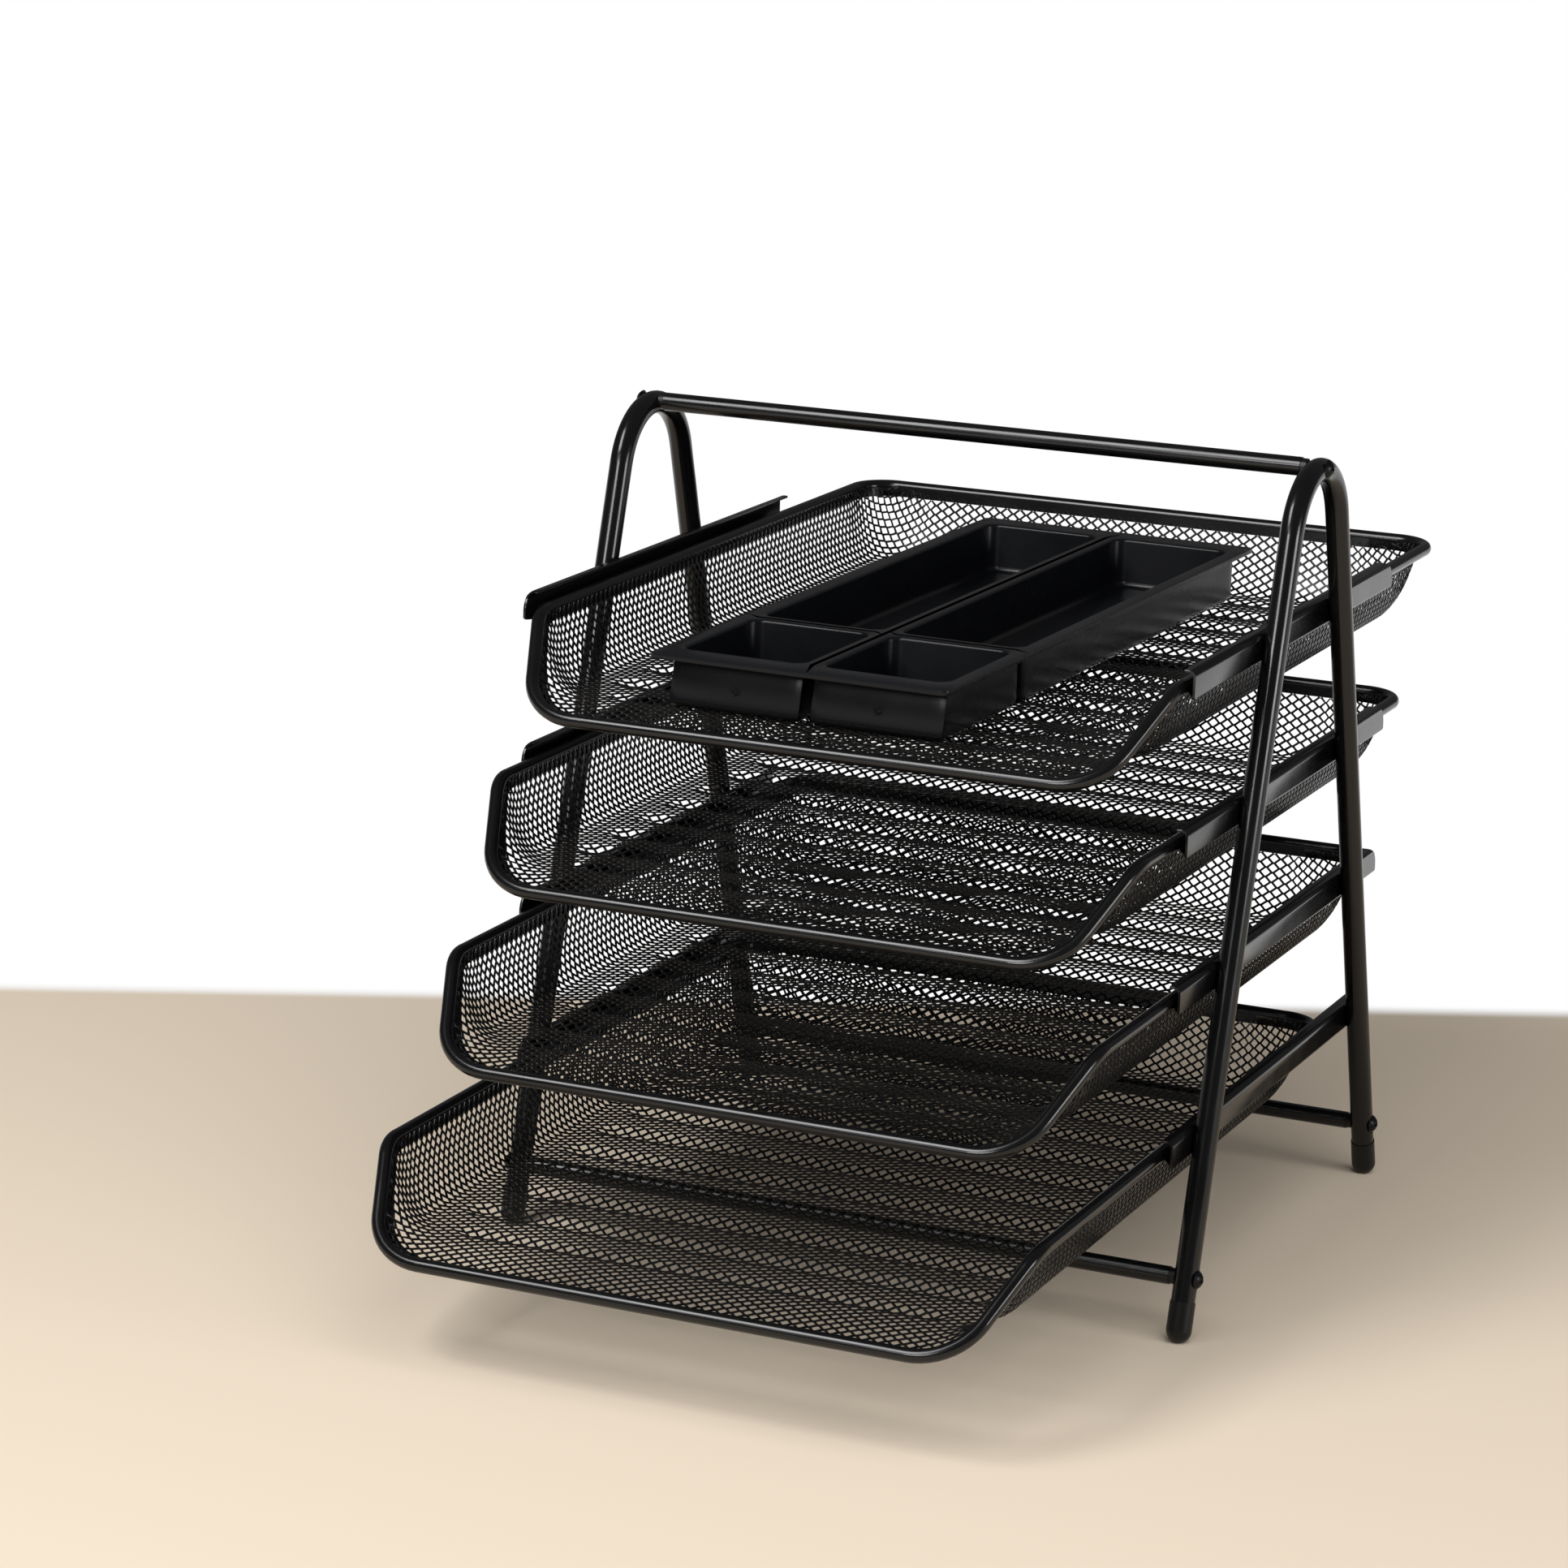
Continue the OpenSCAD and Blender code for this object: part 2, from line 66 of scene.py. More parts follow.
class MeshSizes(bpy.types.PropertyGroup):
    """Sizes of the expanded mesh and of the basket pressed from it"""
    long_pitch: bpy.props.FloatProperty(
        name="Long pitch", description="From one opening to the next along its long way",
        default=5.95 * MM, min=4 * MM, max=9 * MM, unit="LENGTH")
    short_pitch: bpy.props.FloatProperty(
        name="Short pitch", description="From one opening to the next along its short way",
        default=3.93 * MM, min=3 * MM, max=6 * MM, unit="LENGTH")
    bond: bpy.props.FloatProperty(
        name="Bond", description="Length of the bond where two strands join",
        default=0.75 * MM, min=0.2 * MM, max=2 * MM, unit="LENGTH")
    strand: bpy.props.FloatProperty(
        name="Strand width", description="Width of a strand in the sheet",
        default=0.84 * MM, min=0.4 * MM, max=1.2 * MM, unit="LENGTH")
    sheet: bpy.props.FloatProperty(
        name="Sheet", description="Thickness of the mesh sheet",
        default=0.46 * MM, min=0.3 * MM, max=0.6 * MM, unit="LENGTH")
    groove_pitch: bpy.props.FloatProperty(
        name="Groove pitch", description="From one pressed groove of the floor to the next",
        default=26.7 * MM, min=20 * MM, max=35 * MM, unit="LENGTH")
    groove_depth: bpy.props.FloatProperty(
        name="Groove depth", description="Depth of the grooves pressed into the floor",
        default=2.3 * MM, min=1 * MM, max=3 * MM, unit="LENGTH")
    hem: bpy.props.FloatProperty(
        name="Hem", description="Height of the folded hem under the rim",
        default=3.8 * MM, min=3 * MM, max=8 * MM, unit="LENGTH")


class RailSizes(bpy.types.PropertyGroup):
    """Sizes of the sheet-metal rails that carry the trays"""
    length: bpy.props.FloatProperty(
        name="Length", description="Length of a rail",
        default=233 * MM, min=200 * MM, max=260 * MM, unit="LENGTH")
    round_reach: bpy.props.FloatProperty(
        name="Round end", description="How far the round end stands from the middle",
        default=118 * MM, min=100 * MM, max=130 * MM, unit="LENGTH")
    height: bpy.props.FloatProperty(
        name="Height", description="Height of the web",
        default=11 * MM, min=9 * MM, max=13 * MM, unit="LENGTH")
    top_flange: bpy.props.FloatProperty(
        name="Top flange", description="Reach of the flange over the tray's rim",
        default=4.3 * MM, min=3 * MM, max=6 * MM, unit="LENGTH")
    bottom_flange: bpy.props.FloatProperty(
        name="Bottom flange", description="Reach of the flange that the rim slides on",
        default=7.6 * MM, min=6 * MM, max=8 * MM, unit="LENGTH")
    sheet: bpy.props.FloatProperty(
        name="Sheet", description="Thickness of the sheet metal",
        default=0.9 * MM, min=0.6 * MM, max=1.2 * MM, unit="LENGTH")
    bend: bpy.props.FloatProperty(
        name="Bend", description="Radius outside the upper bend",
        default=2.6 * MM, min=1 * MM, max=4 * MM, unit="LENGTH")
    corner: bpy.props.FloatProperty(
        name="Round corner", description="Radius of the upper corner at the round end",
        default=8 * MM, min=3 * MM, max=9 * MM, unit="LENGTH")
    end_cut: bpy.props.FloatProperty(
        name="End cut",
        description="How far the lower flange is cut back at its ends, for the bend of the rims",
        default=12 * MM, min=0, max=30 * MM, unit="LENGTH")


class InsertSizes(bpy.types.PropertyGroup):
    """Sizes of the moulded insert"""
    wall: bpy.props.FloatProperty(
        name="Wall", description="Thickness of its walls, floors and flange",
        default=1.8 * MM, min=1 * MM, max=2.5 * MM, unit="LENGTH")
    corner: bpy.props.FloatProperty(
        name="Corner radius", description="Radius of the upright corners inside its wells",
        default=5 * MM, min=3 * MM, max=8 * MM, unit="LENGTH")
    foot: bpy.props.FloatProperty(
        name="Foot radius", description="Radius between the walls and the floors of its wells",
        default=2.4 * MM, min=0.5 * MM, max=2.8 * MM, unit="LENGTH")
    mouth: bpy.props.FloatProperty(
        name="Mouth radius", description="Radius over the upper edges of its wells",
        default=1.1 * MM, min=0.3 * MM, max=2 * MM, unit="LENGTH")
    edge: bpy.props.FloatProperty(
        name="Edge radius", description="Radius on the flange's outer edge",
        default=0.4 * MM, min=0.1 * MM, max=0.8 * MM, unit="LENGTH")


class Colours(bpy.types.PropertyGroup):
    """Colours of the finishes, as sRGB hex values"""
    powder_coat: bpy.props.StringProperty(
        name="Powder coat", description="Black powder coat on tubes and rails", default="#0a0a0b")
    mesh_coat: bpy.props.StringProperty(
        name="Mesh coat", description="Powder coat on the expanded mesh", default="#0a0a0b")
    moulding: bpy.props.StringProperty(
        name="Insert", description="Black polystyrene of the insert", default="#0b0c0f")
    feet: bpy.props.StringProperty(
        name="Feet", description="Black polyethylene of feet and plugs", default="#0c0c0d")
    screws: bpy.props.StringProperty(
        name="Screws", description="Black zinc on the screws", default="#232427")
    desk: bpy.props.StringProperty(
        name="Floor", description="Pale floor under the stack", default="#dfd0bc")
    backdrop: bpy.props.StringProperty(
        name="Backdrop", description="The floor far behind the stack", default="#ffffff")


class LetterTrays(bpy.types.PropertyGroup):
    """All settings of the letter tray stack"""
    mesh: bpy.props.PointerProperty(type=MeshSizes, name="Mesh", description="Expanded mesh")
    rails: bpy.props.PointerProperty(type=RailSizes, name="Rails", description="Sheet-metal rails")
    insert: bpy.props.PointerProperty(type=InsertSizes, name="Insert", description="Moulded insert")
    colours: bpy.props.PointerProperty(type=Colours, name="Colours", description="Finishes")


def settings():
    return bpy.context.scene.letter_trays


# --------------------------------------------------------------- materials

CLOUDS_PER_METRE = 28.0       # the slow changes of tone and gloss
GLOSS_SPREAD = (-0.04, 0.05)  # what they do to the roughness
RELIEF_STRENGTH = 0.35


def linear(hex_colour):
    """An sRGB hex value as linear RGBA."""
    values = [int(hex_colour[i:i + 2], 16) / 255 for i in (1, 3, 5)]
    return [v / 12.92 if v <= 0.04045 else ((v + 0.055) / 1.055) ** 2.4 for v in values] + [1.0]


def add_node(tree, kind, inputs=None, links=None, **attributes):
    """Adds a node, sets its attributes and inputs, and links its inputs."""
    node = tree.nodes.new("ShaderNode" + kind)
    for name, value in attributes.items():
        setattr(node, name, value)
    for name, value in (inputs or {}).items():
        node.inputs[name].default_value = value
    for name, socket in (links or {}).items():
        tree.links.new(socket, node.inputs[name])
    return node


def finish_material(name, colour, roughness, grain_mm, relief_mm, blotch, **sockets):
    """A painted or moulded surface on Object coordinates in metres: a fine
    grain in the relief, and slow changes of gloss and tone."""
    material = bpy.data.materials.new(name)
    material.use_nodes = True
    tree = material.node_tree
    tree.nodes.clear()
    place = add_node(tree, "TexCoord").outputs["Object"]
    grain = add_node(
        tree, "TexNoise", {"Scale": 1 / MM / grain_mm, "Detail": 2.0, "Roughness": 0.5}, {"Vector": place})
    cloud = add_node(
        tree, "TexNoise", {"Scale": CLOUDS_PER_METRE, "Detail": 3.0, "Roughness": 0.55}, {"Vector": place})
    tone = add_node(tree, "ValToRGB", links={"Fac": cloud.outputs["Fac"]})
    base = linear(colour)
    ramp = tone.color_ramp.elements
    ramp[0].position, ramp[1].position = 0.3, 0.7
    ramp[0].color = [v * (1 - blotch) for v in base[:3]] + [1]
    ramp[1].color = [v * (1 + blotch) for v in base[:3]] + [1]
    gloss = add_node(
        tree, "MapRange", {"From Min": 0.3, "From Max": 0.7, "To Min": roughness + GLOSS_SPREAD[0],
                           "To Max": roughness + GLOSS_SPREAD[1]}, {"Value": cloud.outputs["Fac"]})
    relief = add_node(tree, "Bump", {"Strength": RELIEF_STRENGTH, "Distance": relief_mm * MM},
                      {"Height": grain.outputs["Fac"]})
    shader = add_node(tree, "BsdfPrincipled", sockets, {
        "Base Color": tone.outputs["Color"], "Roughness": gloss.outputs["Result"],
        "Normal": relief.outputs["Normal"]})
    out = add_node(tree, "OutputMaterial")
    tree.links.new(shader.outputs["BSDF"], out.inputs["Surface"])
    return material


def powder_coat():
    # Black polyester powder coat baked on steel: satin, with the faint
    # orange peel that breaks up a highlight's edge.
    return finish_material(
        "powder_coated_steel", settings().colours.powder_coat, roughness=0.19,
        grain_mm=1.1, relief_mm=0.006, blotch=0.12, **{"Specular IOR Level": 0.42})


def mesh_coat():
    # The same coat on thin strands: it pulls back from sheared edges and
    # pools on the bonds, so it is rougher, and its sheen is weaker.
    return finish_material(
        "powder_coated_mesh", settings().colours.mesh_coat, roughness=0.33,
        grain_mm=0.8, relief_mm=0.008, blotch=0.18, **{"Specular IOR Level": 0.25})


def insert_plastic():
    # Injection-moulded polystyrene: smooth and fairly glossy, slightly blue.
    return finish_material(
        "moulded_polystyrene", settings().colours.moulding, roughness=0.27,
        grain_mm=0.9, relief_mm=0.006, blotch=0.1, IOR=1.59, **{"Specular IOR Level": 0.17})


def foot_plastic():
    # Moulded low-density polyethylene: dull and waxy.
    return finish_material(
        "moulded_polyethylene", settings().colours.feet, roughness=0.36,
        grain_mm=0.7, relief_mm=0.015, blotch=0.1, IOR=1.51, **{"Specular IOR Level": 0.32})


def screw_zinc():
    # Black-passivated zinc on steel: a dark metal with a soft sheen.
    return finish_material(
        "black_zinc_steel", settings().colours.screws, roughness=0.34,
        grain_mm=0.5, relief_mm=0.01, blotch=0.15, Metallic=0.85)


def dress(obj, material):
    obj.data.materials.clear()
    obj.data.materials.append(material)


# ------------------------------------------------------------ mesh editing

# Points closer than this count as one, in millimetres.
TOUCH = 0.01


def deselect():
    if bpy.context.object and bpy.context.object.mode != "OBJECT":
        bpy.ops.object.mode_set(mode="OBJECT")
    bpy.ops.object.select_all(action="DESELECT")


def only(obj):
    deselect()
    obj.select_set(True)
    bpy.context.view_layer.objects.active = obj


def apply_modifier(obj, kind, **values):
    """Adds one modifier, sets it and applies it."""
    only(obj)
    modifier = obj.modifiers.new(kind.title(), kind)
    for name, value in values.items():
        setattr(modifier, name, value)
    bpy.ops.object.modifier_apply(modifier=modifier.name)
    if not obj.data.polygons:
        raise RuntimeError(f"{kind} left no faces on {obj.name}")


def settle(obj, name):
    """Names a finished piece and puts its place into its mesh."""
    only(obj)
    bpy.ops.object.transform_apply(location=True, rotation=True, scale=True)
    obj.name = obj.data.name = name
    return obj


def points_of(obj):
    co = np.empty(len(obj.data.vertices) * 3, np.float32)
    obj.data.vertices.foreach_get("co", co)
    return co.reshape(-1, 3).astype(float)


def set_points(obj, co):
    obj.data.vertices.foreach_set("co", np.asarray(co, np.float32).ravel())
    obj.data.update()


def choose(obj, kind, test):
    """In edit mode, selects the VERTs, EDGEs or FACEs whose corners pass a test."""
    if obj.mode != "OBJECT":
        bpy.ops.object.mode_set(mode="OBJECT")
    mesh = obj.data
    for group in (mesh.vertices, mesh.edges, mesh.polygons):
        group.foreach_set("select", np.zeros(len(group), bool))
    co = points_of(obj)
    group = {"VERT": mesh.vertices, "EDGE": mesh.edges, "FACE": mesh.polygons}[kind]
    corners = ([i] for i in range(len(co))) if kind == "VERT" else (list(item.vertices) for item in group)
    picked = np.array([bool(test(co[i])) for i in corners])
    if not picked.any():
        raise RuntimeError(f"no {kind} of {obj.name} passes the test")
    group.foreach_set("select", picked)
    only(obj)
    bpy.context.tool_settings.mesh_select_mode = [kind == name for name in ("VERT", "EDGE", "FACE")]
    bpy.ops.object.mode_set(mode="EDIT")


def delete_faces(obj, test):
    """Deletes the faces whose corners' numbers pass a test, and loose points."""
    if obj.mode != "OBJECT":
        bpy.ops.object.mode_set(mode="OBJECT")
    mesh = obj.data
    for group in (mesh.vertices, mesh.edges):
        group.foreach_set("select", np.zeros(len(group), bool))
    picked = np.array([bool(test(list(face.vertices))) for face in mesh.polygons])
    mesh.polygons.foreach_set("select", picked)
    only(obj)
    bpy.context.tool_settings.mesh_select_mode = (False, False, True)
    bpy.ops.object.mode_set(mode="EDIT")
    bpy.ops.mesh.delete(type="FACE")
    bpy.ops.object.mode_set(mode="OBJECT")


def copy_piece(obj, name, move):
    """A copy with a mesh of its own, moved by a vector."""
    twin = obj.copy()
    twin.data = obj.data.copy()
    twin.data.transform(Matrix.Translation(move))
    twin.name = twin.data.name = name
    bpy.context.scene.collection.objects.link(twin)
    return twin


# --------------------------------------------------------- the tray's form

def from_frame(length):
    """A length from the frame in millimetres, to the tenth."""
    return round(length / MM, 1)


# In a tray's own frame: the origin at the middle of the back of its rim, on
# the tube's centreline, the front towards -Y, in millimetres.
RIM_R = 2.6
RIM_LOW, RIM_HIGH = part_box("tray_1_rim")
RIM_HALF = from_frame((RIM_HIGH.x - RIM_LOW.x) / 2 - RIM_R * MM)
RIM_LENGTH = from_frame(RIM_HIGH.y - RIM_LOW.y - 2 * RIM_R * MM)
FRONT_DROP = from_frame(RIM_HIGH.z - RIM_LOW.z - 2 * RIM_R * MM)
SIDE_LENGTH, FRONT_HALF = 313.7, 112.4
RIM_CORNERS = [(RIM_HALF, 0, 0), (-RIM_HALF, 0, 0), (-RIM_HALF, -SIDE_LENGTH, 0),
               (-FRONT_HALF, -RIM_LENGTH, -FRONT_DROP), (FRONT_HALF, -RIM_LENGTH, -FRONT_DROP),
               (RIM_HALF, -SIDE_LENGTH, 0)]
RIM_RADII = [15, 15, 16, 24, 24, 16]

# The floor lies this far below the rim and inside its sides and back, and
# this far behind its front and the bends of its sides.
FLOOR_DROP, FLOOR_INSET, FLOOR_FRONT, BEND_LEAD = 27.5, 16.0, 22.0, 6.0
FLOOR_HALF, FLOOR_TIP = RIM_HALF - FLOOR_INSET, FRONT_HALF - FLOOR_INSET
FLOOR_BEND, FLOOR_END = BEND_LEAD - SIDE_LENGTH, FLOOR_FRONT - RIM_LENGTH
FLOOR_CORNERS = [(FLOOR_HALF, -FLOOR_INSET, 0), (-FLOOR_HALF, -FLOOR_INSET, 0), (-FLOOR_HALF, FLOOR_BEND, 0),
                 (-FLOOR_TIP, FLOOR_END, 0), (FLOOR_TIP, FLOOR_END, 0), (FLOOR_HALF, FLOOR_BEND, 0)]
FLOOR_RADII = [16, 16, 20, 12, 12, 20]

PATH_STEP = 0.5   # between the points of an outline
WALL_STEPS = 24   # parts of a wall's section
SMOOTHED = 9      # stations that a wall's reach is averaged over
# A wall's top stops short of the rim's centreline by the first of these, and
# by both on the sides and the back, where the rim stands higher.
TOP_GAP, SIDE_TOP_GAP = RIM_R - 0.15, 0.8
# How much of its reach a wall curves over, and how much more in front.
WALL_CURVE, FRONT_CURVE = 0.35, 0.25
# The furthest that the sheet turns out under the rim.
TURN_OUT = 2.4

# A groove goes down, along its bottom and up again at these distances, going
# backwards from where it starts. Grooves fade in over a stretch that begins
# inside the floor's outline.
GROOVE_START, GROOVE_STEPS = 300.0, (0, 6.4, 9.2, 14.4)
GROOVE_MARGIN, GROOVE_FADE = 5, 9


def tray_place(k):
    """Where a tray's origin stands, in metres."""
    low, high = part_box(f"tray_{k}_rim")
    middle, back, level = (low.x + high.x) / 2, high.y - RIM_R * MM, high.z - RIM_R * MM
    return Vector((from_frame(middle), from_frame(back), from_frame(level))) * MM


def smooth_step(share):
    return share * share * (3 - 2 * share)


def rounded_path(corners, radii, step):
    """Points about a step apart along a closed path with round corners."""
    corners = [Vector(c) for c in corners]
    n = len(corners)
    path = []
    for i in range(n):
        before, here, after = corners[i - 1], corners[i], corners[(i + 1) % n]
        u, v = (here - before).normalized(), (after - here).normalized()
        turn = u.angle(v)
        w = (v - u * u.dot(v)).normalized()
        start = here - u * radii[i] * math.tan(turn / 2)
        centre = start + w * radii[i]
        count = max(2, round(turn * radii[i] / step))
        arc = [centre + radii[i] * (math.sin(a) * u - math.cos(a) * w)
               for a in (turn * j / count for j in range(count + 1))]
        if path:
            run = arc[0] - path[-1]
            count = max(1, round(run.length / step))
            path += [path[-1] + run * j / count for j in range(1, count)]
        path += arc
    run = path[0] - path[-1]
    count = max(1, round(run.length / step))
    path += [path[-1] + run * j / count for j in range(1, count)]
    return np.array([tuple(p) for p in path])


class BasketForm:
    """The surface that the flat mesh is pressed to.  A flat point inside the
    floor's outline stays on the floor; one outside it goes up the wall by as
    much as it lies outside."""

    def __init__(self):
        floor = rounded_path(FLOOR_CORNERS, FLOOR_RADII, PATH_STEP)
        rim = rounded_path(RIM_CORNERS, RIM_RADII, PATH_STEP)
        # stations along the floor's outline, with their directions
        along = np.roll(floor, -1, 0) - np.roll(floor, 1, 0)
        along = along[:, :2] / np.linalg.norm(along[:, :2], axis=1)[:, None]
        out = np.stack([along[:, 1], -along[:, 0]], 1)
        if (floor[0, :2] + out[0])[0] ** 2 < floor[0, 0] ** 2:
            out = -out
        self.floor, self.along, self.out = floor[:, :2], along, out
        # how far out and how high the rim is from each station
        reach = rim[None, :, :2] - self.floor[:, None]
        ahead = (reach * out[:, None]).sum(2)
        aside = np.abs((reach * along[:, None]).sum(2))
        hit = np.where(ahead > 0, aside, np.inf).argmin(1)
        run = ahead[np.arange(len(hit)), hit]
        level = rim[hit, 2]
        half = SMOOTHED // 2
        share = np.ones(SMOOTHED) / SMOOTHED
        run, level = (np.convolve(np.r_[a[-half:], a, a[:half]], share, "valid") for a in (run, level))
        front = -level / FRONT_DROP
        top = TOP_GAP + SIDE_TOP_GAP * (1 - front)
        shape = WALL_CURVE + FRONT_CURVE * front
        down = FLOOR_DROP + level
        # Bezier sections from the floor (0) up to the rim (1): [out, up]
        t = np.linspace(0, 1, WALL_STEPS + 1)[None, :, None]
        foot, bend, end = (pair[:, None] for pair in (
            np.stack([0 * run, 0 * run], 1),
            np.stack([(1 - shape) * (run - top), 0 * run], 1),
            np.stack([run - top, down], 1)))
        self.curve = (1 - t) ** 2 * foot + 2 * t * (1 - t) * bend + t ** 2 * end
        leg = np.linalg.norm(np.diff(self.curve, axis=1), axis=2)
        self.length = np.concatenate([np.zeros((len(run), 1)), np.cumsum(leg, 1)], 1)
        self.height = self.length[:, -1]
        self.tree = KDTree(len(self.floor))
        for i, (x, y) in enumerate(self.floor):
            self.tree.insert((x, y, 0), i)
        self.tree.balance()

    def stations(self, flat):
        """For flat points: nearest station, distance outside the floor's
        outline (negative inside) and distance along it."""
        near = np.array([self.tree.find((x, y, 0))[1] for x, y in flat])
        away = flat - self.floor[near]
        return near, (away * self.out[near]).sum(1), (away * self.along[near]).sum(1)

    def wall(self, near, up, aside, depth):
        """Points on the wall at the distance up from the floor, at a depth
        outside its inner face."""
        length, curve = self.length[near], self.curve[near]
        up_wall = np.clip(up, 0, self.height[near])
        k = np.clip((length <= up_wall[:, None]).sum(1) - 1, 0, WALL_STEPS - 1)
        rows = np.arange(len(near))
        share = (up_wall - length[rows, k]) / (length[rows, k + 1] - length[rows, k])
        a, b = curve[rows, k], curve[rows, k + 1]
        place = a + (b - a) * share[:, None]
        way = (b - a) / np.linalg.norm(b - a, axis=1)[:, None]
        # past the wall's top the sheet turns out into the rim
        over = np.clip(up - self.height[near], 0, TURN_OUT)
        outward = place[:, 0] + depth * way[:, 1] + over
        rise = place[:, 1] - depth * way[:, 0]
        flat = self.floor[near] + self.out[near] * outward[:, None] + self.along[near] * aside[:, None]
        return np.column_stack([flat, rise - FLOOR_DROP])

    def grooves(self, flat, inside):
        """Depth of the pressed grooves at points inside the floor."""
        sizes = settings().mesh
        pitch = sizes.groove_pitch / MM
        phase = (flat[:, 1] + GROOVE_START) % pitch
        rise = smooth_step(np.interp(phase, [*GROOVE_STEPS, pitch], [0, 1, 1, 0, 0]))
        fade = smooth_step(np.clip((inside - GROOVE_MARGIN) / GROOVE_FADE, 0, 1))
        return sizes.groove_depth / MM * rise * fade

    def press(self, flat, depth):
        """Where flat points go, and how far past the wall's top they come."""
        near, up, aside = self.stations(flat)
        place = self.wall(near, up, aside, depth)
        inside = up < 0
        place[inside, :2] = flat[inside]
        place[inside, 2] = -FLOOR_DROP - depth - self.grooves(flat[inside], -up[inside])
        return place, up - self.height[near]


# ----------------------------------------------------------------- baskets

COLUMNS, ROWS = 51, 97  # of pairs of openings in the flat sheet
SHEET_BACK = 14         # how far the flat sheet reaches behind the rim
SHEET_DEPTH = 0.27      # from the basket's inner face to the sheet's middle
TRIM = 2.3              # what lies further past a wall's top is cut away
FLOOR_BAND = 0.5        # what lies higher above the floor belongs to the walls


def expanded_sheet(sizes):
    """A flat sheet of expanded mesh in millimetres."""
    long, short, bond = sizes.long_pitch / MM, sizes.short_pitch / MM, sizes.bond / MM
    # one opening: a six-sided cell, long way across, inset to a ring
    deselect()
    bpy.ops.mesh.primitive_circle_add(vertices=6, radius=1, fill_type="NGON")
    cell = bpy.context.object
    tip, end = (long - bond) / 2, bond / 2
    co = points_of(cell)
    order = np.argsort(np.arctan2(co[:, 1], co[:, 0]))
    shape = np.array([(-tip, 0), (-end, -short / 2), (end, -short / 2),
                      (tip, 0), (end, short / 2), (-end, short / 2)])
    ring = np.argsort(np.arctan2(shape[:, 1], shape[:, 0]))
    co[order, :2] = shape[ring]
    set_points(cell, co)
    bpy.ops.object.mode_set(mode="EDIT")
    bpy.ops.mesh.select_all(action="SELECT")
    bpy.ops.mesh.inset(thickness=sizes.strand / MM / 2, use_even_offset=True)
    bpy.ops.mesh.delete(type="FACE")
    # the staggered twin, then rows and columns
    bpy.ops.mesh.select_all(action="SELECT")
    bpy.ops.mesh.duplicate()
    bpy.ops.transform.translate(value=(long / 2, short / 2, 0))
    bpy.ops.object.mode_set(mode="OBJECT")
    for count, step in ((COLUMNS, (long, 0, 0)), (ROWS, (0, short, 0))):
        apply_modifier(cell, "ARRAY", count=count, use_relative_offset=False,
                       use_constant_offset=True, constant_offset_displace=step)
    co = points_of(cell)
    co[:, 0] -= (COLUMNS - 1) / 2 * long + long / 4
    co[:, 1] += SHEET_BACK - ROWS * short
    set_points(cell, co)
    only(cell)
    bpy.ops.object.mode_set(mode="EDIT")
    bpy.ops.mesh.select_all(action="SELECT")
    bpy.ops.mesh.remove_doubles(threshold=TOUCH)
    bpy.ops.object.mode_set(mode="OBJECT")
    return cell


class TRAYS_OT_baskets(bpy.types.Operator):
    """Press one sheet of expanded mesh into a basket and put it in each tray"""
    bl_idname = "trays.baskets"
    bl_label = "Mesh baskets"

    def execute(self, context):
        sizes = settings().mesh
        sheet = expanded_sheet(sizes)
        place, past = BasketForm().press(points_of(sheet)[:, :2], SHEET_DEPTH)
        set_points(sheet, place * MM)
        delete_faces(sheet, lambda face: past[face].min() > TRIM)
        apply_modifier(sheet, "SOLIDIFY", thickness=sizes.sheet, offset=0)
        # the walls and the two halves of the floor are pieces of their own
        middle, level = -RIM_LENGTH / 2 * MM, (-FLOOR_DROP + FLOOR_BAND) * MM
        co = points_of(sheet)
        parts = (("walls", lambda face: co[face, 2].mean() >= level),
                 ("floor_front", lambda face: co[face, 2].mean() < level and co[face, 1].mean() < middle),
                 ("floor_back", lambda face: co[face, 2].mean() < level and co[face, 1].mean() >= middle))
        coat = mesh_coat()
        for part, keep in parts:
            source = copy_piece(sheet, part, (0, 0, 0))
            delete_faces(source, lambda face: not keep(face))
            for k in TRAYS:
                piece = copy_piece(source, f"tray_{k}_mesh_{part}", tray_place(k))
                dress(piece, coat)
                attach(piece, f"tray_{k}")
                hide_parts(f"tray_{k}_basket")
            bpy.data.objects.remove(source)
        bpy.data.objects.remove(sheet)
        return {"FINISHED"}


# -------------------------------------------------------------------- hems

HEM_EVERY = 3  # the hem has a section at every third station


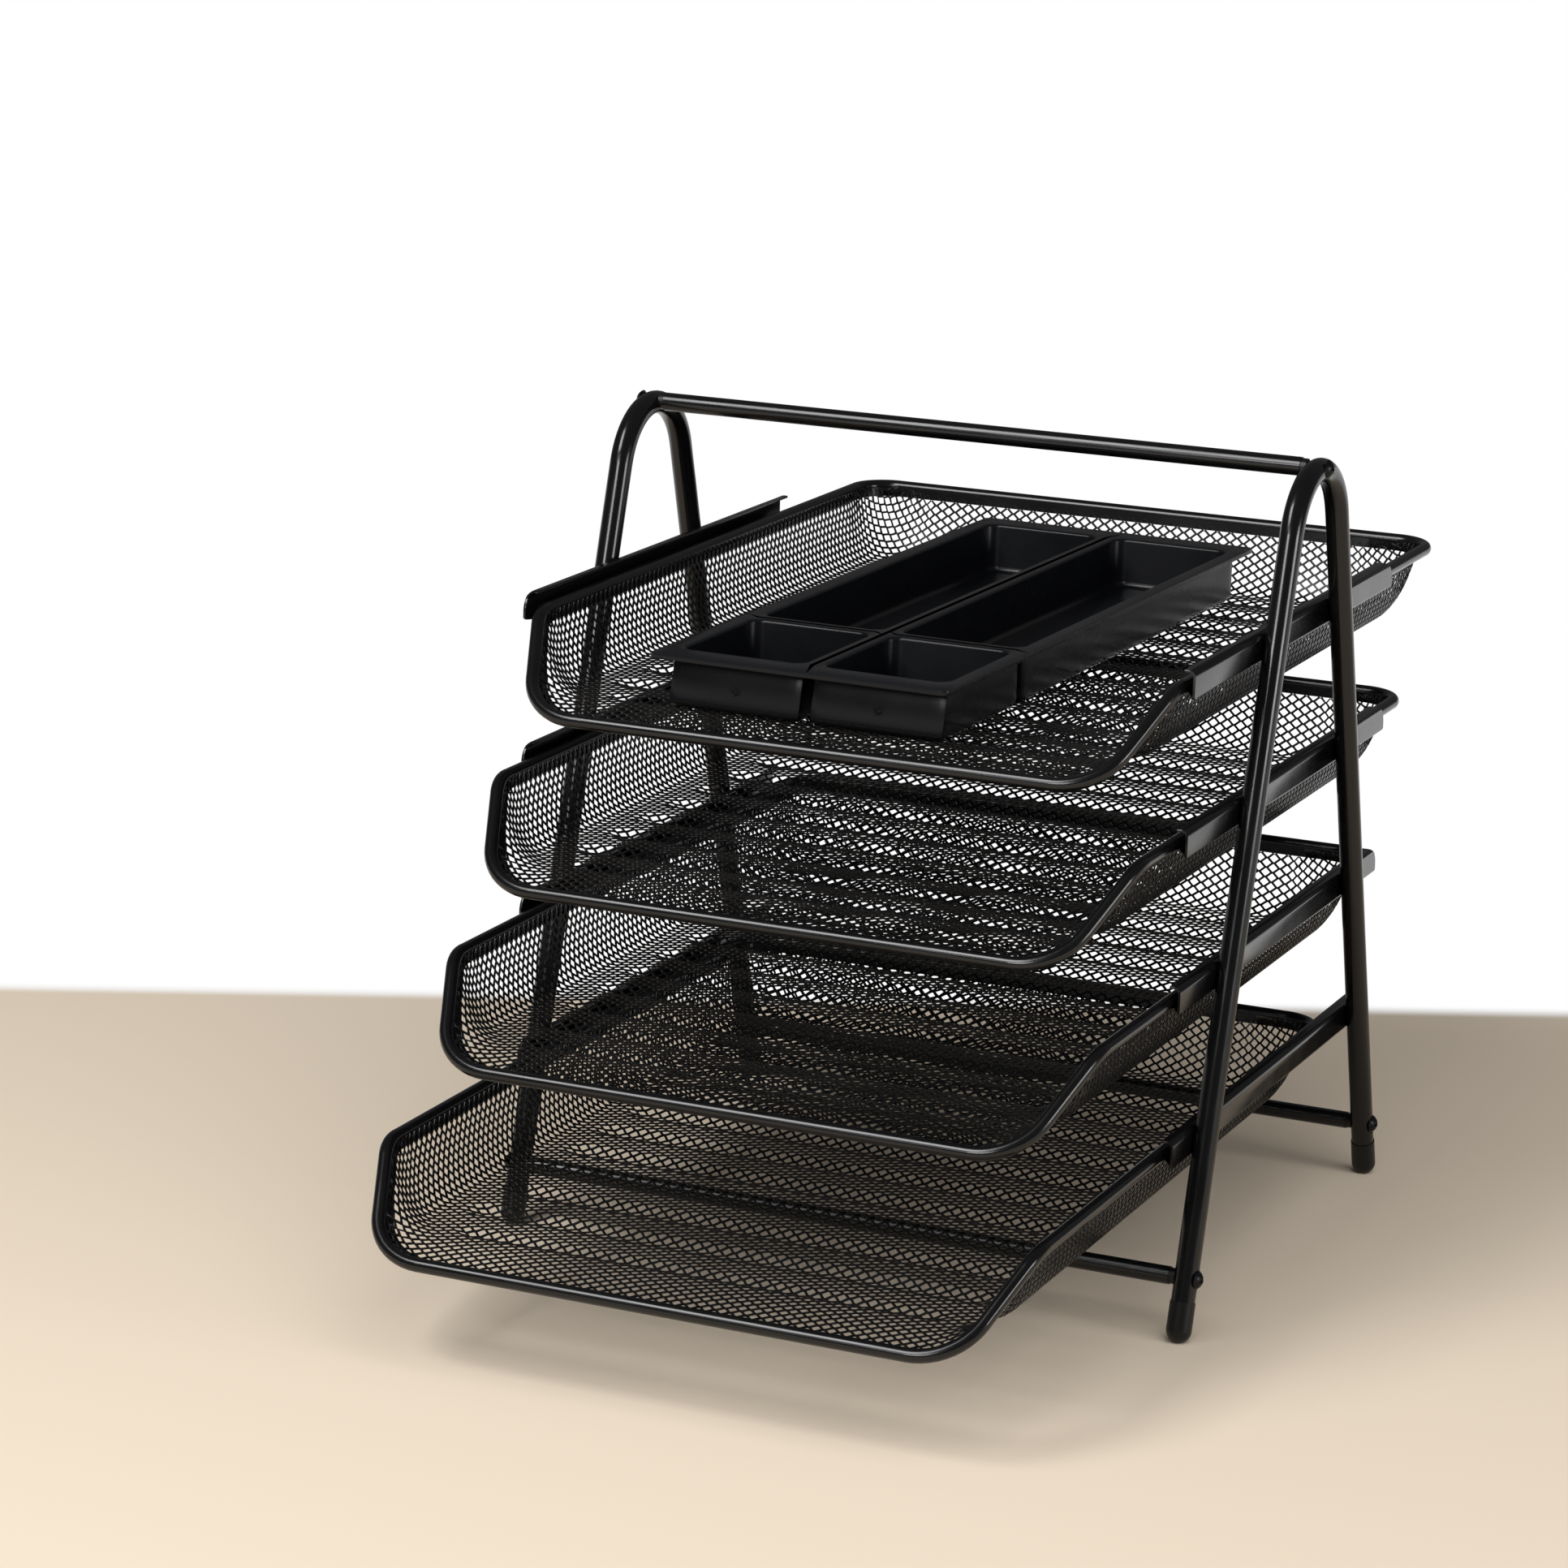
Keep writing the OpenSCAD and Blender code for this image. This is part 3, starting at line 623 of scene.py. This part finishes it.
class TRAYS_OT_hems(bpy.types.Operator):
    """Fold a plain hem over the mesh's edge, under the rim of each tray"""
    bl_idname = "trays.hems"
    bl_label = "Hems"

    def execute(self, context):
        hem = settings().mesh.hem / MM
        # its section: [distance below the wall's top, depth outside the wall's
        # inner face], down the outside, round the bead and up the inside
        section = np.array([(0, 0.8), (hem - 1.1, 0.8), (hem - 0.8, 0.97), (hem - 0.4, 1.02),
                            (hem - 0.1, 0.92), (hem, 0.72), (hem - 0.15, 0.53), (0, 0.53)])
        form = BasketForm()
        near = np.arange(0, len(form.floor), HEM_EVERY)
        deselect()
        bpy.ops.mesh.primitive_grid_add(x_subdivisions=len(near), y_subdivisions=len(section), size=2)
        strip = context.object
        # the grid's columns go round the basket and its rows round the section
        grid = np.rint((points_of(strip)[:, :2] + 1) / 2 * (len(near), len(section))).astype(int)
        station = near[grid[:, 0] % len(near)]
        below, depth = section[grid[:, 1] % len(section)].T
        set_points(strip, form.wall(station, form.height[station] - below, 0 * below, depth))
        choose(strip, "FACE", lambda corners: True)
        bpy.ops.mesh.remove_doubles(threshold=TOUCH / 10)
        bpy.ops.mesh.normals_make_consistent(inside=False)
        bpy.ops.object.mode_set(mode="OBJECT")
        bpy.ops.object.shade_smooth_by_angle(angle=math.radians(50))
        set_points(strip, points_of(strip) * MM)
        coat = powder_coat()
        for k in TRAYS:
            piece = copy_piece(strip, f"tray_{k}_hem", tray_place(k))
            dress(piece, coat)
            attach(piece, f"tray_{k}")
            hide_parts(f"tray_{k}_basket")
        bpy.data.objects.remove(strip)
        return {"FINISHED"}


# ------------------------------------------------------------------- rails

LOWER_BEND = 1.2   # radius outside the lower bend, in sheet thicknesses
SHEET_EDGE = 0.18  # radius on the edges of the sheet
SPARE = 10         # how far the cutting block reaches past the rail


def fold(level):
    """A test for the long edge of a rail's web at a level."""
    return lambda co: abs(co[:, 2] - level).max() < TOUCH and abs(co[:, 0]).max() < TOUCH


def bent_rail(sizes):
    """A left rail in millimetres, the outer face of its web at x = 0, its
    underside at z = 0, its round end at y = 0."""
    long, high, sheet = sizes.length / MM, sizes.height / MM, sizes.sheet / MM
    # the web, then both flanges, then the bends
    deselect()
    bpy.ops.mesh.primitive_plane_add(
        size=1, location=(0, long / 2, high / 2), rotation=(0, -math.pi / 2, 0))
    rail = bpy.context.object
    rail.scale = (high, long, 1)
    bpy.ops.object.transform_apply(location=True, rotation=True, scale=True)
    for reach, level in ((sizes.top_flange, high), (sizes.bottom_flange, 0)):
        choose(rail, "EDGE", fold(level))
        bpy.ops.mesh.extrude_edges_move(TRANSFORM_OT_translate={"value": (reach / MM, 0, 0)})
    bpy.ops.object.mode_set(mode="OBJECT")
    # the lower flange is cut back towards its ends: the rims bend down there
    # with a tray home
    co = points_of(rail)
    lip = (co[:, 2] < TOUCH) & (co[:, 0] > sizes.bottom_flange / MM - TOUCH)
    co[lip, 1] += np.where(co[lip, 1] < long / 2, 1, -1) * sizes.end_cut / MM
    set_points(rail, co)
    for radius, level, segments in ((sizes.bend / MM, high, 5), (sheet * LOWER_BEND, 0, 3)):
        choose(rail, "EDGE", fold(level))
        bpy.ops.mesh.bevel(offset=radius, segments=segments, affect="EDGES")
    bpy.ops.object.mode_set(mode="OBJECT")
    apply_modifier(rail, "SOLIDIFY", thickness=sheet, offset=-1, use_even_offset=True)
    # the round corner is cut with a block that goes on past the other sides
    deselect()
    bpy.ops.mesh.primitive_cube_add(
        size=1, location=(SPARE - 1, (long + SPARE) / 2, (high - SPARE) / 2 + TOUCH))
    block = bpy.context.object
    block.scale = (2 * SPARE, long + SPARE, high + SPARE)
    bpy.ops.object.transform_apply(location=True, rotation=False, scale=True)
    choose(block, "EDGE", lambda co: co[:, 1].max() < TOUCH and co[:, 2].min() > high - TOUCH)
    bpy.ops.mesh.bevel(offset=sizes.corner / MM, segments=12, affect="EDGES")
    bpy.ops.object.mode_set(mode="OBJECT")
    apply_modifier(rail, "BOOLEAN", object=block, operation="INTERSECT", solver="EXACT")
    bpy.data.objects.remove(block)
    apply_modifier(rail, "BEVEL", limit_method="ANGLE", angle_limit=math.radians(60),
                   width=SHEET_EDGE, segments=2)
    only(rail)
    bpy.ops.object.shade_smooth_by_angle(angle=math.radians(35))
    return rail


class TRAYS_OT_rails(bpy.types.Operator):
    """Bend the rails from sheet metal: one form, turned round for the other side"""
    bl_idname = "trays.rails"
    bl_label = "Rails"

    def execute(self, context):
        sizes = settings().rails
        rail = bent_rail(sizes)
        set_points(rail, (points_of(rail) - (0, sizes.round_reach / MM, 0)) * MM)
        coat = powder_coat()
        for k in TRAYS:
            for side, turn in (("left", 0), ("right", math.pi)):
                node = f"rail_{k}_{side}"
                low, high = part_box(node)
                outer = low.x if side == "left" else high.x
                piece = copy_piece(rail, f"sheet_{node}", (0, 0, 0))
                piece.data.transform(Matrix.Translation((outer, 0, low.z)) @ Matrix.Rotation(turn, 4, "Z"))
                dress(piece, coat)
                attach(piece, "frame")
                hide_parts(node)
        bpy.data.objects.remove(rail)
        return {"FINISHED"}


# ------------------------------------------------------------------ insert

# In the insert's own frame: the origin under its middle, in millimetres.
INSERT_WIDE, INSERT_LONG, INSERT_HIGH = 121.0, 315.0, 22.0
# The sides of the two columns of wells, and the ends of the cups and wells.
WELL_SIDES, WELL_ENDS = (-53.75, -4, 4, 53.75), (-143.5, -82.5, -74.5, 144.5)
WELLS = [(WELL_SIDES[i], WELL_ENDS[j], WELL_SIDES[i + 1], WELL_ENDS[j + 1]) for i in (0, 2) for j in (0, 2)]
FLANGE_CORNER = 3      # radius of the flange's corners
CUP_FRONT_EXTRA = 4.2  # how far the cups' outer fronts stand forward
# The wells' outer corners: how far past the inner ones they reach, and how
# square they are, from 0 for round to 1.
OUTER_BAND, OUTER_SQUARE = 4, 0.9
# The mould marks: their places across the cups, height and radii.
MARK_PLACES, MARK_HEIGHT, MARK_RADIUS, MARK_LINE = (-28.9, 28.9), 9.3, 1.3, 0.24
# How the insert lies in the tray, turned by this many degrees.
INSERT_TURN = -1.4


def outside_wells(x, y, r):
    """Distance from a point to the nearest well's outline with corners of
    radius r, negative inside."""
    gaps = []
    for x0, y0, x1, y1 in WELLS:
        dx = abs(x - (x0 + x1) / 2) - (x1 - x0) / 2 + r
        dy = abs(y - (y0 + y1) / 2) - (y1 - y0) / 2 + r
        gaps.append(math.hypot(max(dx, 0), max(dy, 0)) + min(max(dx, dy), 0) - r)
    return min(gaps, key=abs)


def moulded_shell(sizes):
    """The insert's upper surface: the flange, with the wells going down."""
    wall, corner, foot = sizes.wall / MM, sizes.corner / MM, sizes.foot / MM
    # the flange, cut where the wells go down
    deselect()
    bpy.ops.mesh.primitive_plane_add(size=1, location=(0, 0, INSERT_HIGH))
    insert = bpy.context.object
    insert.scale = (INSERT_WIDE, INSERT_LONG, 1)
    bpy.ops.object.transform_apply(location=True, rotation=False, scale=True)
    bpy.ops.object.mode_set(mode="EDIT")
    for cuts, normal in ((WELL_SIDES, Vector((1, 0, 0))), (WELL_ENDS, Vector((0, 1, 0)))):
        for cut in cuts:
            bpy.ops.mesh.select_all(action="SELECT")
            bpy.ops.mesh.bisect(plane_co=normal * cut + Vector((0, 0, INSERT_HIGH)), plane_no=normal)
    # the wells, their round corners, feet and mouths
    choose(insert, "FACE", lambda co: outside_wells(*co.mean(0)[:2], corner) < -1)
    bpy.ops.mesh.extrude_region_move(TRANSFORM_OT_translate={"value": (0, 0, wall - INSERT_HIGH)})
    choose(insert, "EDGE", lambda co: abs(co[0, 2] - co[1, 2]) > 1)
    bpy.ops.mesh.bevel(offset=corner, segments=6, affect="EDGES")
    choose(insert, "EDGE", lambda co: co[:, 2].max() < wall + TOUCH)
    bpy.ops.mesh.bevel(offset=foot, segments=3, affect="EDGES")
    choose(insert, "EDGE", lambda co: co[:, 2].min() > INSERT_HIGH - TOUCH and max(
        abs(outside_wells(x, y, corner)) for x, y in (co[0, :2], co[1, :2], co.mean(0)[:2])) < 10 * TOUCH)
    bpy.ops.mesh.bevel(offset=sizes.mouth / MM, segments=3, affect="EDGES")
    choose(insert, "VERT", lambda co: abs(co[0, 0]) > INSERT_WIDE / 2 - 0.1 and abs(
        co[0, 1]) > INSERT_LONG / 2 - 0.1)
    bpy.ops.mesh.bevel(offset=FLANGE_CORNER, segments=4, affect="VERTICES")
    bpy.ops.object.mode_set(mode="OBJECT")
    flange = max(insert.data.polygons, key=lambda face: face.center.z)
    if flange.normal.z < 0:
        choose(insert, "FACE", lambda co: True)
        bpy.ops.mesh.flip_normals()
        bpy.ops.object.mode_set(mode="OBJECT")
    return insert


def shape_outside(co, outer, wall, corner):
    """Moves the outer points: the wells' upright corners are nearly square
    outside, and the cups' fronts stand further forward than their insides."""
    for well in WELLS:
        for x, y, sign_x, sign_y in ((well[i], well[j], 1 - i, 2 - j) for i in (0, 2) for j in (1, 3)):
            away = co[:, :2] - (x + sign_x * corner, y + sign_y * corner)
            reach = np.linalg.norm(away, axis=1)
            near = (outer & (away[:, 0] * sign_x < -TOUCH) & (away[:, 1] * sign_y < -TOUCH)
                    & (reach < corner + OUTER_BAND))
            co[near, :2] += away[near] * ((reach / abs(away).max(1)) ** OUTER_SQUARE - 1)[near, None]
    front = WELL_ENDS[0] - wall
    forward = (outer & (co[:, 1] > front - 1) & (co[:, 1] < WELL_ENDS[0] + corner + 0.1)
               & (co[:, 2] < INSERT_HIGH - wall + 0.1))
    co[forward, 1] -= CUP_FRONT_EXTRA
    return co


class TRAYS_OT_insert(bpy.types.Operator):
    """Mould the insert: a flat flange with two cups and two long wells"""
    bl_idname = "trays.insert"
    bl_label = "Insert"

    def execute(self, context):
        sizes = settings().insert
        wall, corner = sizes.wall / MM, sizes.corner / MM
        insert = moulded_shell(sizes)
        count = len(insert.data.vertices)
        apply_modifier(insert, "SOLIDIFY", thickness=wall, offset=-1, use_even_offset=True,
                       use_quality_normals=True)
        outer = np.arange(len(insert.data.vertices)) >= count
        set_points(insert, shape_outside(points_of(insert), outer, wall, corner))
        apply_modifier(insert, "BEVEL", limit_method="ANGLE", angle_limit=math.radians(60),
                       width=sizes.edge / MM, segments=2)
        only(insert)
        bpy.ops.object.shade_smooth_by_angle(angle=math.radians(35))
        # a small round mould mark on each cup's front
        marks = []
        for x in MARK_PLACES:
            deselect()
            bpy.ops.mesh.primitive_torus_add(
                major_radius=MARK_RADIUS, minor_radius=MARK_LINE, major_segments=20, minor_segments=6,
                location=(x, WELL_ENDS[0] - wall - CUP_FRONT_EXTRA, MARK_HEIGHT),
                rotation=(math.pi / 2, 0, 0))
            marks.append(context.object)
            bpy.ops.object.shade_smooth()
        only(insert)
        for mark in marks:
            mark.select_set(True)
        bpy.ops.object.join()
        low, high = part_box("organizer_insert")
        middle = (low + high) / 2
        place = Vector((from_frame(middle.x), from_frame(middle.y), from_frame(low.z))) * MM
        insert.matrix_world = Matrix.Translation(place) @ \
            Matrix.Rotation(math.radians(INSERT_TURN), 4, "Z") @ Matrix.Scale(MM, 4)
        settle(insert, "moulded_insert")
        dress(insert, insert_plastic())
        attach(insert, "insert")
        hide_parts("organizer_insert")
        return {"FINISHED"}


# ---------------------------------------------------------------- finishes

class TRAYS_OT_finishes(bpy.types.Operator):
    """Give every solid of the frame its finish"""
    bl_idname = "trays.finishes"
    bl_label = "Finishes"

    def execute(self, context):
        coat, moulding, feet, zinc = powder_coat(), insert_plastic(), foot_plastic(), screw_zinc()
        for name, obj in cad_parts.items():
            if "screws" in name:
                dress(obj, zinc)
            elif "plugs" in name or "foot" in name:
                dress(obj, feet)
            elif "insert" in name:
                dress(obj, moulding)
            else:
                dress(obj, coat)
        return {"FINISHED"}


# ------------------------------------------------------------------- stage

# All in metres. The floor is pale under the stack. It turns white across a
# line behind the stack, given by its normal and two distances from the
# origin, and again between two distances all round the origin.
FLOOR_SIZE = 60
LINE_NORMAL, LINE_FROM, LINE_TO = (-0.438, 0.899, 0), 0.262, 0.282
ROUND_FROM, ROUND_TO = 0.8, 1.7
WORLD_LIGHT = 0.1

# Softboxes: [place, width, height, power], all aimed at one point. Those
# above the height are turned to lie along Y, and the others stand upright.
SOFTBOXES = {
    "fill_softbox": ((1.1, -1.1, 2.0), 2.2, 2.2, 33),
    "overhead_softbox": ((-0.72, -1.2, 1.7), 0.72, 1.0, 27),
    "front_softbox": ((-0.25, -1.9, 1.0), 0.6, 0.45, 11),
    "right_softbox": ((1.8, -0.28, 0.5), 0.6, 0.4, 8),
}
AIM, OVERHEAD = Vector((0, -0.02, 0.15)), 1.5

# The photo's camera, solved from the straight tubes and rims: its place in
# millimetres, its directions, and its lens on a sensor 36 mm wide.
CAMERA_PLACE = Vector((685.6, -1715.9, 629.2))
CAMERA_RIGHT = Vector((0.91089, 0.41181, 0.02642))
CAMERA_DOWN = Vector((0.12311, -0.21008, -0.9699))
CAMERA_AHEAD = Vector((-0.39386, 0.88673, -0.24205))
SENSOR, LENS = 36, 111.38


def floor_material(colours):
    material = bpy.data.materials.new("pale_floor")
    material.use_nodes = True
    tree = material.node_tree
    tree.nodes.clear()
    place = add_node(tree, "TexCoord").outputs["Object"]
    behind = add_node(tree, "VectorMath", {1: LINE_NORMAL}, {0: place}, operation="DOT_PRODUCT")
    around = add_node(tree, "VectorMath", links={0: place}, operation="LENGTH")
    behind = add_node(tree, "MapRange", {"From Min": LINE_FROM, "From Max": LINE_TO},
                      {"Value": behind.outputs["Value"]}, interpolation_type="SMOOTHSTEP")
    around = add_node(tree, "MapRange", {"From Min": ROUND_FROM, "From Max": ROUND_TO},
                      {"Value": around.outputs["Value"]}, interpolation_type="SMOOTHSTEP")
    far = add_node(
        tree, "Math", links={0: behind.outputs["Result"], 1: around.outputs["Result"]}, operation="MAXIMUM")
    tone = add_node(tree, "Mix", {6: linear(colours.desk), 7: linear(colours.backdrop)},
                    {0: far.outputs[0]}, data_type="RGBA")
    # the white part is a backdrop to the camera, glossy and transmission rays
    path = add_node(tree, "LightPath").outputs
    seen = add_node(
        tree, "Math", links={0: path["Is Camera Ray"], 1: path["Is Glossy Ray"]}, operation="MAXIMUM")
    seen = add_node(
        tree, "Math", links={0: seen.outputs[0], 1: path["Is Transmission Ray"]}, operation="MAXIMUM")
    white = add_node(tree, "Math", links={0: far.outputs[0], 1: seen.outputs[0]}, operation="MULTIPLY")
    matt = add_node(tree, "BsdfDiffuse", links={"Color": tone.outputs[2]})
    glow = add_node(tree, "Emission", {"Color": linear(colours.backdrop), "Strength": 1.0})
    shader = add_node(
        tree, "MixShader", links={0: white.outputs[0], 1: matt.outputs[0], 2: glow.outputs[0]})
    out = add_node(tree, "OutputMaterial")
    tree.links.new(shader.outputs[0], out.inputs["Surface"])
    return material


def studio_world():
    """Dim light for the stack, and a white backdrop to the camera beyond the
    floor's far edge."""
    world = bpy.data.worlds.new("studio")
    world.use_nodes = True
    tree = world.node_tree
    path = add_node(tree, "LightPath").outputs
    seen = add_node(
        tree, "Math", links={0: path["Is Camera Ray"], 1: path["Is Transmission Ray"]}, operation="MAXIMUM")
    level = add_node(tree, "MapRange", {"To Min": WORLD_LIGHT, "To Max": 1.0}, {"Value": seen.outputs[0]})
    sky = tree.nodes["Background"]
    sky.inputs["Color"].default_value = (1, 1, 1, 1)
    tree.links.new(level.outputs["Result"], sky.inputs["Strength"])
    return world


def add_softbox(name, place, wide, high, power):
    data = bpy.data.lights.new(name, "AREA")
    data.shape, data.size, data.size_y, data.energy = "RECTANGLE", wide, high, power
    lamp = bpy.data.objects.new(name, data)
    aim = AIM - Vector(place)
    across = aim.cross(Vector((0, 1, 0)) if place[2] > OVERHEAD else Vector((0, 0, 1))).normalized()
    lamp.matrix_world = Matrix.Translation(place) @ Matrix(
        (across, -aim.normalized().cross(across), -aim.normalized())).transposed().to_4x4()
    # the fill only lightens the shadows, and draws no sheen on the black coat
    lamp.visible_glossy = name != "fill_softbox"
    bpy.context.scene.collection.objects.link(lamp)


def add_camera():
    camera = bpy.data.cameras.new("camera")
    camera.sensor_width, camera.lens = SENSOR, LENS
    camera.clip_start, camera.clip_end = 0.05, 40
    obj = bpy.data.objects.new("camera", camera)
    turn = Matrix((CAMERA_RIGHT, -CAMERA_DOWN, -CAMERA_AHEAD)).transposed().to_4x4()
    obj.matrix_world = Matrix.Translation(CAMERA_PLACE * MM) @ turn
    bpy.context.scene.collection.objects.link(obj)
    bpy.context.scene.camera = obj


class TRAYS_OT_stage(bpy.types.Operator):
    """Pale floor, soft lamps and the camera"""
    bl_idname = "trays.stage"
    bl_label = "Stage"

    def execute(self, context):
        deselect()
        bpy.ops.mesh.primitive_plane_add(size=FLOOR_SIZE)
        floor = settle(context.object, "pale_floor")
        dress(floor, floor_material(settings().colours))
        context.scene.world = studio_world()
        for name, values in SOFTBOXES.items():
            add_softbox(name, *values)
        add_camera()
        context.scene.view_settings.view_transform = "Standard"
        return {"FINISHED"}


# ------------------------------------------------------------------ add-on

class TRAYS_PT_panel(bpy.types.Panel):
    """Lists the steps and the settings in the sidebar"""
    bl_label = "Letter tray stack"
    bl_idname = "TRAYS_PT_panel"
    bl_space_type = "VIEW_3D"
    bl_region_type = "UI"
    bl_category = "Letter trays"

    def draw(self, context):
        for step in STEPS:
            self.layout.operator(step.bl_idname)
        for group in (settings().mesh, settings().rails, settings().insert, settings().colours):
            column = self.layout.column(heading=group.bl_rna.name)
            for name in group.bl_rna.properties.keys():
                if name not in ("rna_type", "name"):
                    column.prop(group, name)


STEPS = (TRAYS_OT_finishes, TRAYS_OT_baskets, TRAYS_OT_hems, TRAYS_OT_rails, TRAYS_OT_insert,
         TRAYS_OT_stage)
CLASSES = (MeshSizes, RailSizes, InsertSizes, Colours, LetterTrays, *STEPS, TRAYS_PT_panel)


def register():
    for item in CLASSES:
        bpy.utils.register_class(item)
    bpy.types.Scene.letter_trays = bpy.props.PointerProperty(type=LetterTrays)


def unregister():
    del bpy.types.Scene.letter_trays
    for item in reversed(CLASSES):
        bpy.utils.unregister_class(item)


def main():
    register()
    bpy.ops.trays.finishes()
    bpy.ops.trays.baskets()
    bpy.ops.trays.hems()
    bpy.ops.trays.rails()
    bpy.ops.trays.insert()
    bpy.ops.trays.stage()


if __name__ == "__main__":
    main()
